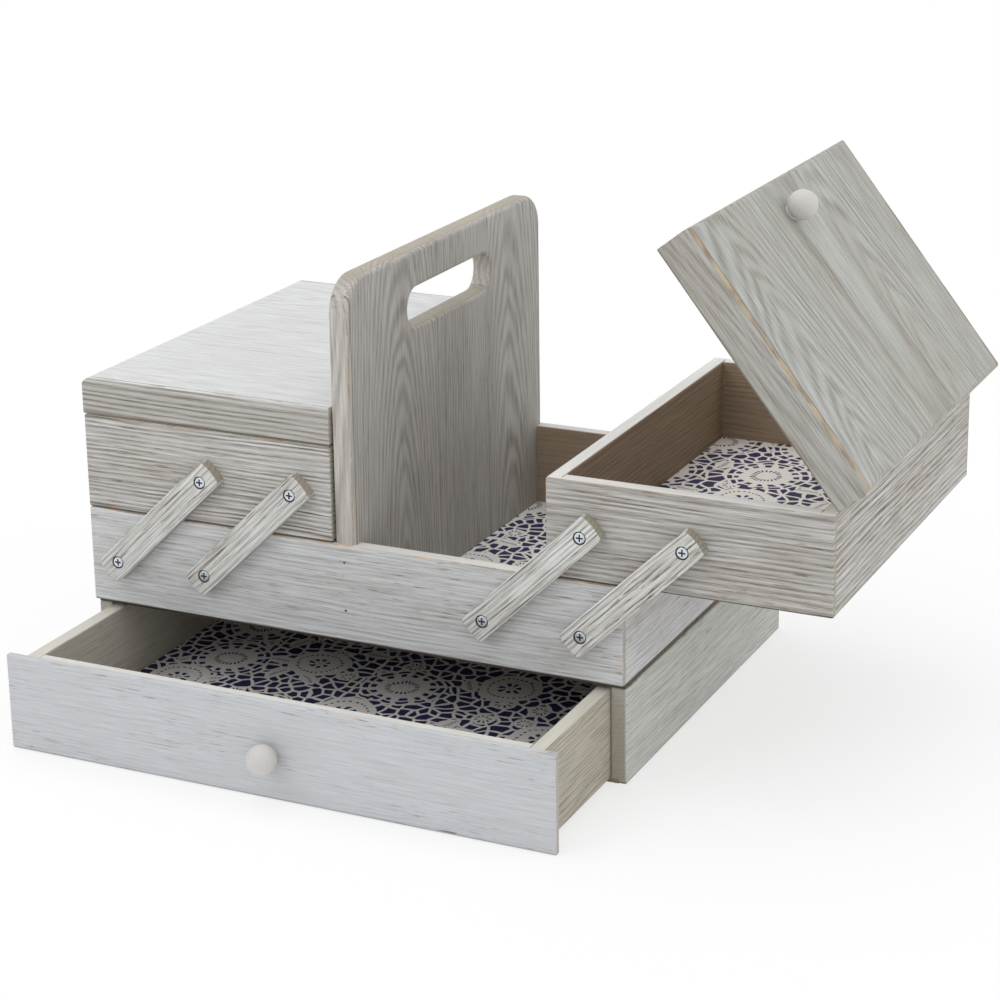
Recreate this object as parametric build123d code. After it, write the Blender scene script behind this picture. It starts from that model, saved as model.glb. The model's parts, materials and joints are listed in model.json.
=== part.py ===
from build123d import *
import os
from math import asin, cos, degrees, radians, sqrt

# Wooden sewing box: a drawer case, a fixed tray with a tall handle board across it,
# and two lidded trays that swing out on eight flat arms.
# Millimetres. X runs along the front, Y to the back, Z up.
# The origin is the middle of the underside.
# Rest pose: drawer part way out, right tray swung out with its lid up, left tray shut.

# Overall box
box_width = 400.0
box_depth = 300.0
wall = 10.5              # thickness of every case and tray wall
corner_lip = 3.5         # what the front and back boards keep past the lapped corner
arris = 1.5              # rounding of the outer edges
rim_ease = 0.8           # rounding of the inner rim edges
panel = 3.0              # thickness of the thin panels
groove_depth = 4.0       # how far a panel enters a wall
panel_play = 0.4         # space between a panel's edge and the end of its groove
paper = 0.4              # lining thickness
paper_play = 0.3         # space round the lining
stack_gap = 0.5          # space between the storeys

# Drawer case
case_side_height = 66.5
front_setback = 5.0      # the case stands back by this much behind the drawer's face
shadow_line = 0.8        # the top panel stops short of the outer faces
bottom_rabbet = 5.0      # ledge that holds the bottom panel

# Fixed tray
fixed_tray_height = 68.0
fixed_tray_floor = 4.5   # from the wall's lower edge to the panel's underside

# Handle board
handle_thickness = 15.0
handle_top = 317.5
handle_setback = 1.0     # its upright edges stand this far inside the box's faces
handle_corner = 25.0
handle_round = 4.0
slot_length = 128.0
slot_height = 27.0
slot_drop = 27.0         # wood left above the slot
slot_round = 3.0
brad_diameter = 1.8
brad_length = 28.0
brad_drop = 12.3         # upper nail below the rim
brad_pitch = 34.0        # lower nail below the upper one

# Drawer
drawer_out = 105.0       # how far it stands out at rest
drawer_wall = 10.0
drawer_front_thickness = 4.7
drawer_front_low = 0.3
drawer_front_high = 67.3
drawer_front_round = 1.2
drawer_side_play = 0.6
drawer_slide_play = 0.3  # over the case's bottom panel
drawer_head_play = 1.5   # under the case's top panel
drawer_back_play = 2.0
drawer_floor = 4.5
drawer_knob_level = 31.5

# Swinging trays
tray_height = 66.2
tray_floor = 6.0
handle_gap = 1.0         # between a shut tray and the handle board

# Arms
arm_reach = 96.0         # pivot to pivot
arm_inset = 26.5         # outer lower pivot to the box's side
arm_inner_inset = 27.0   # inner upper pivot to the shut tray's inner side
arm_drop = 34.6          # lower pivots below the fixed tray's rim
arm_width = 20.0
arm_thickness = 8.0
arm_end = 12.5           # pivot to the arm's end
arm_end_bow = 1.5
arm_corner = 3.0
arm_ease = 0.6
arm_gap = 0.3            # between an arm and the wall
arm_counterbore_depth = 2.5

# Arm screws
screw_shank = 3.9
screw_head = 7.6
screw_head_height = 2.2
screw_point = 2.5        # length of the tapered point
screw_tip = 0.2          # radius of the blunt end
head_crown = 0.3         # a head's rounding as a share of its height
screw_run = 0.05         # radial clearance where an arm turns on a shank
head_run = 0.6           # radial clearance round a head
head_play = 0.15         # under a head
screw_stop = 1.5         # wood left past a screw's point
recess_width = 1.1
recess_span = 4.8
recess_depth = 1.4
small_recess = 0.6       # a hinge screw's cross against a pivot screw's

# Lids
lid_thickness = 25.2
lid_round = 4.5          # front, back and outer top edges
lid_inner_round = 3.0
lid_ease = 1.5           # the edges of the underside
lid_open = 52.0          # the right lid's angle at rest

# Lid hinges
hinge_length = 30.0
hinge_out = 2.5          # pin axis outside the tray's face
hinge_inset = 60.0       # hinge middle to the tray's end
knuckle_radius = 2.2
knuckle_gap = 0.3
hinge_pin_radius = 1.0
leaf_thickness = 1.0
leaf_reach = 11.0        # pin axis to the leaf's inner edge
leaf_gap = 0.4           # between shut leaves
mortise_play = 0.15
leaf_screw_shank = 2.4
leaf_screw_head = 4.4
leaf_screw_length = 10.0
leaf_screw_pitch = 18.0

# Knobs
knob_diameter = 20.0
knob_middle = 9.8        # ball centre above the face
knob_foot = 10.8
knob_neck = 9.8
neck_hollow = 0.15
knob_screw_shank = 4.0
knob_screw_head = 7.6
knob_screw_head_height = 2.4
knob_screw_bite = 12.0
knob_inset = 25.0        # lid knob to the lid's inner edge
lid_knob_forward = 5.0   # lid knob in front of the lid's middle

# Worked out from the above
half_width = box_width / 2
half_depth = box_depth / 2
case_height = case_side_height + panel
rim = case_height + fixed_tray_height
tray_low = rim + stack_gap
tray_high = tray_low + tray_height
seam = tray_high + stack_gap / 2
lid_low = tray_high + stack_gap
tray_inner = handle_thickness / 2 + handle_gap
tray_width = half_width - tray_inner
arm_swing = (tray_width - arm_inset - arm_inner_inset) / 2
tray_travel = 2 * arm_swing
arm_tilt = degrees(asin(arm_swing / arm_reach))
pivot_low = rim - arm_drop
pivot_high = pivot_low + sqrt(arm_reach**2 - arm_swing**2)
outer_pivot = half_width - arm_inset
inner_pivot = outer_pivot - arm_swing
slot_middle = handle_top - slot_drop - slot_height / 2
brad_levels = (rim - brad_drop, rim - brad_drop - brad_pitch)
hinge_y = half_depth - hinge_inset
hinge_x = half_width + hinge_out
seat_depth = arm_thickness - arm_counterbore_depth
screw_length = head_play + seat_depth + arm_gap + wall - screw_stop

# How far each side's tray has swung out and its lid has turned at rest
tray_shift = {"left": 0.0, "right": tray_travel}
lid_turn = {"left": 0.0, "right": lid_open}
arm_lean = {"left": arm_tilt, "right": arm_tilt}


def block(x, y, z):
    """A box between three pairs of low and high values."""
    spans = (x, y, z)
    size = [high - low for low, high in spans]
    middle = [(high + low) / 2 for low, high in spans]
    return Pos(*middle) * Box(*size)


def grown(span, by):
    """A span made longer by the same amount at both ends."""
    return (span[0] - by, span[1] + by)


def eased(shape, points, radius):
    """Round the edges that lie nearest to the points."""
    edges = [shape.edges().sort_by_distance(point)[0] for point in points]
    return fillet(edges, radius)


def group(solids):
    """Separate solids kept together in one node."""
    return Compound(children=[solid.solid() for solid in solids])


def mirrored(shape):
    """The same piece on the left side."""
    return mirror(shape, Plane.YZ)


def lapped_box(x, y, z, thickness, floor, round_edges=True):
    """Four walls with lapped corners, a grooved-in panel and the span of its inside."""
    outline = block(x, y, z)
    if round_edges:
        outline = fillet(outline.edges(), arris)
    inner_x = grown(x, -thickness)
    inner_y = grown(y, -thickness)
    side_y = grown(y, -corner_lip)
    panel_z = (z[0] + floor, z[0] + floor + panel)
    left = block((x[0], inner_x[0]), side_y, z)
    right = block((inner_x[1], x[1]), side_y, z)
    front = block(x, (y[0], inner_y[0]), z) - left - right
    back = block(x, (inner_y[1], y[1]), z) - left - right
    groove = block(grown(inner_x, groove_depth), grown(inner_y, groove_depth), panel_z)
    walls = {"front": front, "back": back, "left": left, "right": right}
    middle = (sum(x) / 2, sum(y) / 2)
    rim_points = {
        "front": (middle[0], inner_y[0], z[1]),
        "back": (middle[0], inner_y[1], z[1]),
        "left": (inner_x[0], middle[1], z[1]),
        "right": (inner_x[1], middle[1], z[1]),
    }
    for name, wall_block in walls.items():
        shaped = (wall_block & outline) - groove
        walls[name] = eased(shaped, [rim_points[name]], rim_ease)
    reach = groove_depth - panel_play
    walls["bottom"] = block(grown(inner_x, reach), grown(inner_y, reach), panel_z)
    return walls, inner_x, inner_y, panel_z[1]


def lining(x, y, low):
    """One sheet of printed paper on a panel."""
    return block(grown(x, -paper_play), grown(y, -paper_play), (low, low + paper))


def turned_screw(shank, head, head_height, length, point, recess=True):
    """A screw along Z, head up, with the underside of its head at the origin."""
    body = Pos(0, 0, -(length - point) / 2) * Cylinder(shank / 2, length - point)
    tip = Pos(0, 0, -length + point / 2) * Cone(screw_tip, shank / 2, point)
    cap = Pos(0, 0, head_height / 2) * Cylinder(head / 2, head_height)
    cap = fillet(cap.edges().group_by(Axis.Z)[-1], head_height * head_crown)
    screw = body + tip + cap
    if recess:
        screw -= cross_recess(head_height)
    return screw


def cross_recess(top):
    """The driver's cross, cut down from the top of a head."""
    middle = top - recess_depth / 2
    bar = Box(recess_span, recess_width, recess_depth)
    return Pos(0, 0, middle) * (bar + Rot(0, 0, 90) * bar)


def flat_screw(recess=True):
    """A small countersunk hinge screw, head flush with Z = 0 and pointing down."""
    shank = leaf_screw_shank / 2
    straight = leaf_screw_length - leaf_thickness - screw_point
    head = Pos(0, 0, -leaf_thickness / 2) * Cone(shank, leaf_screw_head / 2, leaf_thickness)
    body = Pos(0, 0, -leaf_thickness - straight / 2) * Cylinder(shank, straight)
    tip = Pos(0, 0, -leaf_screw_length + screw_point / 2) * Cone(screw_tip, shank, screw_point)
    screw = head + body + tip
    if recess:
        bar = Box(recess_span * small_recess, recess_width * small_recess, recess_depth)
        screw -= bar + Rot(0, 0, 90) * bar
    return screw


# Arms and their screws
def arm_blank():
    """An arm standing on its lower pivot at the origin, outer face towards -Y."""
    half = arm_width / 2
    low = -arm_end
    high = arm_reach + arm_end
    sides = [
        Line((-half, low + arm_end_bow), (-half, high - arm_end_bow)),
        ThreePointArc((-half, high - arm_end_bow), (0, high), (half, high - arm_end_bow)),
        Line((half, high - arm_end_bow), (half, low + arm_end_bow)),
        ThreePointArc((half, low + arm_end_bow), (0, low), (-half, low + arm_end_bow)),
    ]
    outline = Plane.XZ * make_face(sides)
    outline = fillet(outline.vertices(), arm_corner)
    blank = extrude(outline, amount=arm_thickness, dir=(0, -1, 0))
    outer_face = blank.faces().sort_by(Axis.Y)[0]
    blank = fillet(outer_face.edges(), arm_ease)
    bore = screw_shank / 2 + screw_run
    seat = screw_head / 2 + head_run
    for level in (0, arm_reach):
        blank -= Pos(0, -arm_thickness / 2, level) * Rot(90, 0, 0) * Cylinder(bore, arm_thickness)
        seat_y = -arm_thickness + arm_counterbore_depth / 2
        blank -= Pos(0, seat_y, level) * Rot(90, 0, 0) * Cylinder(seat, arm_counterbore_depth)
    return blank


def arm_screw(recess=True):
    """A screw for an arm's pivot, pointing to +Y from an arm's outer side."""
    screw = turned_screw(screw_shank, screw_head, screw_head_height, screw_length, screw_point, recess)
    under_head = -arm_gap - seat_depth - head_play
    return Pos(0, under_head, 0) * Rot(90, 0, 0) * screw


def on_face(shape, face):
    """Stand a piece made for the front face on the front or the back of the box."""
    if face == "back":
        shape = mirror(shape, Plane.XZ)
    return Pos(0, half_depth if face == "back" else -half_depth, 0) * shape


def side_sign(side):
    return 1 if side == "right" else -1


def lower_pivots(side):
    """X of the two lower pivots of a side."""
    return {"outer": side_sign(side) * outer_pivot, "inner": side_sign(side) * inner_pivot}


def make_arms():
    blank = arm_blank()
    arms = {}
    for side in ("left", "right"):
        for face in ("front", "back"):
            for place, x in lower_pivots(side).items():
                leaning = Rot(0, arm_lean[side], 0) * (Pos(0, -arm_gap, 0) * blank)
                node = f"{side}_{face}_{place}_arm"
                arms[node] = Pos(x, 0, pivot_low) * on_face(leaning, face)
    return arms


def pivot_screws(pivots, level, recess=True):
    """The screws of the given pivots on the front and the back of the box."""
    screws = {"front": [], "back": []}
    for face, made in screws.items():
        for x in pivots:
            made.append(Pos(x, 0, level) * on_face(arm_screw(recess), face))
    return screws


# Case, fixed tray and handle board
def make_case():
    """Two sides, a lapped back, a bottom let in from below and a top panel."""
    x = (-half_width, half_width)
    y = (-half_depth + front_setback, half_depth)
    z = (0, case_side_height)
    outline = fillet(block(x, y, z).edges(), arris)
    inner_x = grown(x, -wall)
    side_y = (y[0], y[1] - corner_lip)
    left = block((x[0], inner_x[0]), side_y, z)
    right = block((inner_x[1], x[1]), side_y, z)
    back = block(x, (y[1] - wall, y[1]), z) - left - right
    bottom_y = (y[0], y[1] - wall + bottom_rabbet)
    bottom = block(grown(inner_x, bottom_rabbet), bottom_y, (0, panel))
    top_y = (y[0], y[1] - shadow_line)
    top = block(grown(x, -shadow_line), top_y, (case_side_height, case_height))
    return {
        "carcass_left_side": (left & outline) - bottom,
        "carcass_right_side": (right & outline) - bottom,
        "carcass_back": (back & outline) - bottom,
        "carcass_bottom": bottom,
        "carcass_top": top,
    }


def brads():
    """Nails through the fixed tray's front and back into the handle board's edges."""
    nails = []
    for level in brad_levels:
        for turn in (0, 180):
            middle = half_depth - brad_length / 2
            nail = Rot(90, 0, 0) * Cylinder(brad_diameter / 2, brad_length)
            nails.append(Rot(0, 0, turn) * (Pos(0, -middle, level) * nail))
    return nails


def handle_board(foot):
    """The tall board, notched to stand over the fixed tray's rims."""
    half = handle_thickness / 2
    upright = half_depth - handle_setback
    inside = half_depth - wall
    upper = block((-half, half), (-upright, upright), (rim, handle_top))
    ends = upper.edges().filter_by(Axis.X).group_by(Axis.Z)[-1]
    upper = fillet(ends, handle_corner)
    slot_face = Plane.YZ * Pos(0, slot_middle) * SlotOverall(slot_length, slot_height)
    upper -= extrude(slot_face, amount=handle_thickness, both=True)
    lower = block((-half, half), (-inside, inside), (foot, rim))
    board = upper + lower
    outer_points = []
    slot_points = []
    straight = slot_length / 2 - slot_height / 2
    for x in (-half, half):
        mid_level = (rim + handle_top) / 2
        arc = handle_corner * (1 - cos(radians(45)))
        for y in (-upright, upright):
            inward = arc if y < 0 else -arc
            outer_points.append((x, y, mid_level))
            outer_points.append((x, y + inward, handle_top - arc))
            slot_points.append((x, slot_length / 2 * (1 if y > 0 else -1), slot_middle))
        outer_points.append((x, 0, handle_top))
        slot_points.append((x, straight / 2, slot_middle + slot_height / 2))
        slot_points.append((x, straight / 2, slot_middle - slot_height / 2))
    board = eased(board, outer_points, handle_round)
    board = eased(board, slot_points, slot_round)
    return board


def make_fixed_tray():
    x = (-half_width, half_width)
    y = (-half_depth, half_depth)
    walls, inner_x, inner_y, floor = lapped_box(x, y, (case_height, rim), wall, fixed_tray_floor)
    handle = handle_board(floor)
    pivots = [x for side in ("left", "right") for x in lower_pivots(side).values()]
    shanks = pivot_screws(pivots, pivot_low, recess=False)
    for face, made in shanks.items():
        for screw in made:
            walls[face] -= screw
    for nail in brads():
        walls["front"] -= nail
        walls["back"] -= nail
        handle -= nail
    half = handle_thickness / 2
    sheets = [
        lining((inner_x[0], -half), inner_y, floor),
        lining((half, inner_x[1]), inner_y, floor),
    ]
    screws = pivot_screws(pivots, pivot_low)
    return {
        "fixed_tray_front": walls["front"],
        "fixed_tray_back": walls["back"],
        "fixed_tray_left_side": walls["left"],
        "fixed_tray_right_side": walls["right"],
        "fixed_tray_bottom": walls["bottom"],
        "fixed_tray_lining": group(sheets),
        "handle_panel": handle,
        "handle_brads": group(brads()),
        "lower_arm_screws": group(screws["front"] + screws["back"]),
    }


# Knobs
def knob():
    """A ball knob standing on the XY plane, without its screw hole."""
    ball = knob_diameter / 2
    neck = knob_neck / 2
    foot = knob_foot / 2
    join = knob_middle - sqrt(ball**2 - neck**2)
    top = knob_middle + ball
    profile = [
        Line((0, 0), (foot, 0)),
        ThreePointArc((foot, 0), ((foot + neck) / 2 - neck_hollow, join / 2), (neck, join)),
        ThreePointArc((neck, join), (ball, knob_middle), (0, top)),
        Line((0, top), (0, 0)),
    ]
    return revolve(Plane.XZ * make_face(profile), Axis.Z)


def knob_screw(board_thickness, recess=True):
    """Up through a board whose outer face is the XY plane, head let in flush behind."""
    length = board_thickness - knob_screw_head_height + knob_screw_bite
    screw = turned_screw(knob_screw_shank, knob_screw_head, knob_screw_head_height, length, screw_point, recess)
    under_head = -board_thickness + knob_screw_head_height
    return Pos(0, 0, under_head) * Rot(180, 0, 0) * screw


# Drawer
def make_drawer():
    """The drawer where it stands at rest."""
    front_y = (-half_depth, -half_depth + drawer_front_thickness)
    front = block((-half_width, half_width), front_y, (drawer_front_low, drawer_front_high))
    front = fillet(front.edges(), drawer_front_round)
    half = half_width - wall - drawer_side_play
    y = (front_y[1], half_depth - wall - drawer_back_play)
    z = (panel + drawer_slide_play, case_side_height - drawer_head_play)
    walls, inner_x, inner_y, floor = lapped_box(
        (-half, half), y, z, drawer_wall, drawer_floor, round_edges=False
    )
    behind = drawer_front_thickness + drawer_wall
    to_face = Pos(0, -half_depth, drawer_knob_level) * Rot(90, 0, 0)
    hole = to_face * knob_screw(behind, recess=False)
    pieces = {
        "drawer_front": front - hole,
        "drawer_inner_front": walls["front"] - hole,
        "drawer_back": walls["back"],
        "drawer_left_side": walls["left"],
        "drawer_right_side": walls["right"],
        "drawer_bottom": walls["bottom"],
        "drawer_lining": lining(inner_x, inner_y, floor),
        "drawer_knob": to_face * knob() - hole,
        "drawer_knob_screw": to_face * knob_screw(behind),
    }
    return {node: Pos(0, -drawer_out, 0) * piece for node, piece in pieces.items()}


# Hinges, drawn for the right side with the pin's axis along Y through the origin
def knuckle_spans(owner):
    """Y spans of a leaf's knuckles: two for the tray's leaf, one between them for the lid's."""
    third = hinge_length / 3
    if owner == "lid":
        return [(-third / 2 + knuckle_gap, third / 2 - knuckle_gap)]
    return [(-hinge_length / 2, -third / 2), (third / 2, hinge_length / 2)]


def leaf(owner):
    """A leaf in the shut hinge: the tray's leaf lies below the axis, the lid's above."""
    up = 1 if owner == "lid" else -1
    near = knuckle_radius + knuckle_gap
    z = sorted((up * leaf_gap / 2, up * (leaf_gap / 2 + leaf_thickness)))
    plate = block((-leaf_reach, -near), (-hinge_length / 2, hinge_length / 2), z)
    bore = hinge_pin_radius + (screw_run if owner == "lid" else 0)
    for span in knuckle_spans(owner):
        middle = sum(span) / 2
        barrel = Rot(90, 0, 0) * Cylinder(knuckle_radius, span[1] - span[0])
        plate += block((-near, 0), span, z) + Pos(0, middle, 0) * barrel
    plate -= Rot(90, 0, 0) * Cylinder(bore, hinge_length)
    for screw in leaf_screws(owner, recess=False):
        plate -= screw
    return plate


def leaf_screws(owner, recess=True):
    """The two screws of one leaf."""
    up = 1 if owner == "lid" else -1
    x = -(leaf_reach + hinge_out) / 2
    screw = flat_screw(recess)
    if owner == "lid":
        screw = Rot(180, 0, 0) * screw
    ends = (-leaf_screw_pitch / 2, leaf_screw_pitch / 2)
    return [Pos(x, y, up * leaf_gap / 2) * screw for y in ends]


def mortise(owner):
    """The shallow bed of a leaf in the wood."""
    up = 1 if owner == "lid" else -1
    z = sorted((0, up * (leaf_gap / 2 + leaf_thickness)))
    y = grown((-hinge_length / 2, hinge_length / 2), mortise_play)
    return block((-leaf_reach - mortise_play, 0), y, z)


def at_hinges(pieces):
    """Copies of right-side hinge pieces at both hinges of a shut tray."""
    return [Pos(hinge_x, y, seam) * piece for y in (-hinge_y, hinge_y) for piece in pieces]


# Swinging trays and lids
def shut_tray():
    """The right tray where it stands when shut, without its screws' holes."""
    x = (tray_inner, half_width)
    y = (-half_depth, half_depth)
    walls, inner_x, inner_y, floor = lapped_box(x, y, (tray_low, tray_high), wall, tray_floor)
    for cutter in at_hinges([mortise("tray")] + leaf_screws("tray", recess=False)):
        walls["right"] -= cutter
    pivots = [outer_pivot - arm_swing, inner_pivot - arm_swing]
    shanks = pivot_screws(pivots, pivot_high, recess=False)
    for face, made in shanks.items():
        for screw in made:
            walls[face] -= screw
    screws = pivot_screws(pivots, pivot_high)
    pin = Rot(90, 0, 0) * Cylinder(hinge_pin_radius, hinge_length)
    return {
        "tray_front": walls["front"],
        "tray_back": walls["back"],
        "tray_inner_side": walls["left"],
        "tray_outer_side": walls["right"],
        "tray_bottom": walls["bottom"],
        "tray_lining": lining(inner_x, inner_y, floor),
        "tray_arm_screws": screws["front"] + screws["back"],
        "tray_hinge_leaves": at_hinges([leaf("tray"), pin]),
        "tray_hinge_screws": at_hinges(leaf_screws("tray")),
    }


def shut_lid():
    """The right lid where it lies when shut."""
    low = lid_low
    high = lid_low + lid_thickness
    x = (tray_inner, half_width)
    y = (-half_depth, half_depth)
    across = block(x, y, (low, high))
    along = block(x, y, (low, high))
    middle_y = sum(y) / 2
    middle_x = sum(x) / 2
    across = eased(across, [(x[1], middle_y, high)], lid_round)
    across = eased(across, [(x[0], middle_y, high)], lid_inner_round)
    across = eased(across, [(x[0], middle_y, low), (x[1], middle_y, low)], lid_ease)
    along = eased(along, [(middle_x, y[0], high), (middle_x, y[1], high)], lid_round)
    along = eased(along, [(middle_x, y[0], low), (middle_x, y[1], low)], lid_ease)
    board = across & along
    for cutter in at_hinges([mortise("lid")] + leaf_screws("lid", recess=False)):
        board -= cutter
    to_top = Pos(tray_inner + knob_inset, -lid_knob_forward, high)
    hole = to_top * knob_screw(lid_thickness, recess=False)
    return {
        "lid_board": board - hole,
        "lid_knob": to_top * knob() - hole,
        "lid_knob_screw": to_top * knob_screw(lid_thickness),
        "lid_hinge_leaves": at_hinges([leaf("lid")]),
        "lid_hinge_screws": at_hinges(leaf_screws("lid")),
    }


def as_list(piece):
    return piece if isinstance(piece, list) else [piece]


def make_side(side):
    """A side's tray and lid where they stand at rest."""
    nodes = {}
    slide = Pos(tray_shift[side], 0, 0)
    to_pin = Pos(hinge_x, 0, seam)
    turn = to_pin * Rot(0, lid_turn[side], 0) * to_pin.inverse()
    placed = {}
    for name, piece in shut_tray().items():
        placed[name] = [slide * part for part in as_list(piece)]
    for name, piece in shut_lid().items():
        placed[name] = [slide * turn * part for part in as_list(piece)]
    for name, parts in placed.items():
        if side == "left":
            parts = [mirrored(part) for part in parts]
        nodes[f"{side}_{name}"] = group(parts)
    return nodes


def make_all():
    nodes = {}
    nodes.update(make_case())
    nodes.update(make_fixed_tray())
    nodes.update(make_drawer())
    nodes.update(make_arms())
    for side in ("left", "right"):
        nodes.update(make_side(side))
    return nodes


os.makedirs("parts", exist_ok=True)
for node, shape in make_all().items():
    export_step(shape, f"parts/{node}.step")
    print(node, round(shape.volume), "mm3")
print("arm tilt", round(arm_tilt, 3), "degrees, upper pivots at", round(pivot_high, 3))
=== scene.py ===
# %% [markdown]
# A wooden sewing box
#
# The real object is a stack of brushed, white-washed wooden boxes: a drawer case, a fixed tray with a tall
# board across it as the handle, and two lidded trays that swing out on flat arms. The CAD model already has
# every board, screw and hinge at its true size, so Blender's work here is the finish: the grain of each
# board, the pale wash over it, the lace-printed lining, the bright screws, the light and the camera.
# The first cell loads that model.

# %% Load the model
import bpy
import json
import math
import random
from mathutils import Matrix, Vector


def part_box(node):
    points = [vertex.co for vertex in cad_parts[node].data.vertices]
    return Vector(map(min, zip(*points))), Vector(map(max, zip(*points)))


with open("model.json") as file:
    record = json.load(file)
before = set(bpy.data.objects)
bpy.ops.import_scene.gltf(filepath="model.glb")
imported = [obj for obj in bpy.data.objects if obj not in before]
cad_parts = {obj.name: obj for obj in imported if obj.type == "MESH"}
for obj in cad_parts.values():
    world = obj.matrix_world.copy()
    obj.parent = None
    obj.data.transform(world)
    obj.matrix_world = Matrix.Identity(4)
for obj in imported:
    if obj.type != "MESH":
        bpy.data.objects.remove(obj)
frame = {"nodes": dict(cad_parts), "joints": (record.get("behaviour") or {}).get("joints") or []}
bpy.context.view_layer.update()
nodes = frame["nodes"]
scene = bpy.context.scene

# %% [markdown]
# The camera
#
# A product photo like this is taken from a little above, with a long lens so that the boards' edges stay
# nearly parallel. A camera could be aimed with a Track To constraint, but writing its three axes as the
# columns of a matrix is exact and has nothing left to evaluate. The lens shift slides the picture without
# turning the camera, which keeps the upright boards upright.

# %% Camera
view_yaw = math.radians(24.88)
view_pitch = math.radians(-16.68)
view_roll = math.radians(-0.60)
forward = Vector((-math.sin(view_yaw) * math.cos(view_pitch),
                  math.cos(view_yaw) * math.cos(view_pitch),
                  math.sin(view_pitch)))
level = Vector((math.cos(view_yaw), math.sin(view_yaw), 0.0))
upright = level.cross(forward)
side_axis = math.cos(view_roll) * level + math.sin(view_roll) * upright
up_axis = -math.sin(view_roll) * level + math.cos(view_roll) * upright

camera_data = bpy.data.cameras.new("studio_camera")
camera_data.sensor_width = 36.0
camera_data.lens = 92.55
camera_data.shift_x = -0.03205
camera_data.shift_y = -0.10475
camera_data.clip_end = 50.0
camera = bpy.data.objects.new("studio_camera", camera_data)
scene.collection.objects.link(camera)
turned = Matrix((side_axis, up_axis, -forward)).transposed().to_4x4()
camera_place = (0.78564, -1.54614, 0.71802)
camera.matrix_world = Matrix.Translation(camera_place) @ turned
scene.camera = camera
print("camera at", camera.location, "looking along", forward)

# %% [markdown]
# Floor and light
#
# The box stands on a white sweep in even studio light. One large soft lamp above gives the tops their
# brightness, weaker ones lift the fronts and the right sides, and the world fills the shadows. Brighter
# lamps would turn the floor white but burn out the pale boards. Light Path's Is Camera Ray does it without
# them: the world, and the floor away from the box, look white to the camera and to polished metal but add
# almost nothing to the light on the wood. Near the box about a third of what the camera sees is still the
# real lit floor, and that third keeps the shadow.

# %% Helpers for node trees
def add(tree, kind, inputs=None, **settings):
    """Add a shader node; an input is a value or another node's output."""
    made = tree.nodes.new("ShaderNode" + kind)
    for name, value in settings.items():
        setattr(made, name, value)
    for name, value in (inputs or {}).items():
        if isinstance(value, bpy.types.NodeSocket):
            tree.links.new(value, made.inputs[name])
        else:
            made.inputs[name].default_value = value
    return made


def calc(tree, operation, *values, clamp=False):
    """One sum of numbers in a Math node."""
    made = add(tree, "Math", dict(enumerate(values)), operation=operation, use_clamp=clamp)
    return made.outputs[0]


def ramp(tree, value, low, high, to_low=0.0, to_high=1.0):
    """A soft step from one level to another."""
    made = add(tree, "MapRange", {"Value": value, "From Min": low, "From Max": high,
                                  "To Min": to_low, "To Max": to_high}, interpolation_type="SMOOTHSTEP")
    return made.outputs[0]


def mix(tree, factor, first, second, blend="MIX"):
    """Lay one colour over another."""
    made = add(tree, "Mix", data_type="RGBA", blend_type=blend, clamp_factor=True)
    for socket, value in ((made.inputs[0], factor), (made.inputs[6], first), (made.inputs[7], second)):
        if isinstance(value, bpy.types.NodeSocket):
            tree.links.new(value, socket)
        else:
            socket.default_value = value
    return made.outputs[2]


def srgb(red, green, blue):
    """A colour as a picture editor names it, 0 to 255, turned to the linear values that shaders use."""
    linear = []
    for part in (red, green, blue):
        share = part / 255
        linear.append(share / 12.92 if share <= 0.04045 else ((share + 0.055) / 1.055) ** 2.4)
    return (*linear, 1.0)


print("helpers ready; mid grey is", [round(v, 3) for v in srgb(128, 128, 128)[:3]])

# %% World and floor
world = bpy.data.worlds.new("white_studio")
world.use_nodes = True
scene.world = world
sky = world.node_tree
sky.nodes.clear()
path = add(sky, "LightPath")
seen = calc(sky, "MAXIMUM", path.outputs["Is Camera Ray"], path.outputs["Is Glossy Ray"])
seen = calc(sky, "MAXIMUM", seen, path.outputs["Is Transmission Ray"])
fill = add(sky, "Background", {"Color": srgb(243, 244, 246), "Strength": 0.84})
white = add(sky, "Background", {"Color": (1, 1, 1, 1), "Strength": 1.0})
chosen = add(sky, "MixShader", {0: seen, 1: fill.outputs[0], 2: white.outputs[0]})
add(sky, "OutputWorld", {"Surface": chosen.outputs[0]})

floor_mesh = bpy.data.meshes.new("floor")
reach = 6.0
corners = [(-reach, -reach, 0), (reach, -reach, 0), (reach, reach, 0), (-reach, reach, 0)]
floor_mesh.from_pydata(corners, [], [(0, 1, 2, 3)])
floor = bpy.data.objects.new("floor", floor_mesh)
scene.collection.objects.link(floor)
floor_white = bpy.data.materials.new("white_sweep")
floor_white.use_nodes = True
ground = floor_white.node_tree
paper_white = ground.nodes["Principled BSDF"]
paper_white.inputs["Base Color"].default_value = (0.95, 0.95, 0.95, 1)
paper_white.inputs["Roughness"].default_value = 0.9
paper_white.inputs["Specular IOR Level"].default_value = 0.1
path = add(ground, "LightPath")
seen = calc(ground, "MAXIMUM", path.outputs["Is Camera Ray"], path.outputs["Is Glossy Ray"])
place = add(ground, "TexCoord").outputs["Object"]
away = add(ground, "VectorMath", {0: place}, operation="LENGTH").outputs["Value"]
white_share = ramp(ground, away, 0.20, 0.75, 0.65, 1.0)
glow = add(ground, "Emission", {"Color": (1, 1, 1, 1), "Strength": 1.0})
shown = add(ground, "MixShader", {0: calc(ground, "MULTIPLY", seen, white_share),
                                  1: paper_white.outputs[0], 2: glow.outputs[0]})
ground.links.new(shown.outputs[0], ground.nodes["Material Output"].inputs["Surface"])
floor_mesh.materials.append(floor_white)
print("floor reaches", reach, "m each way")


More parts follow.
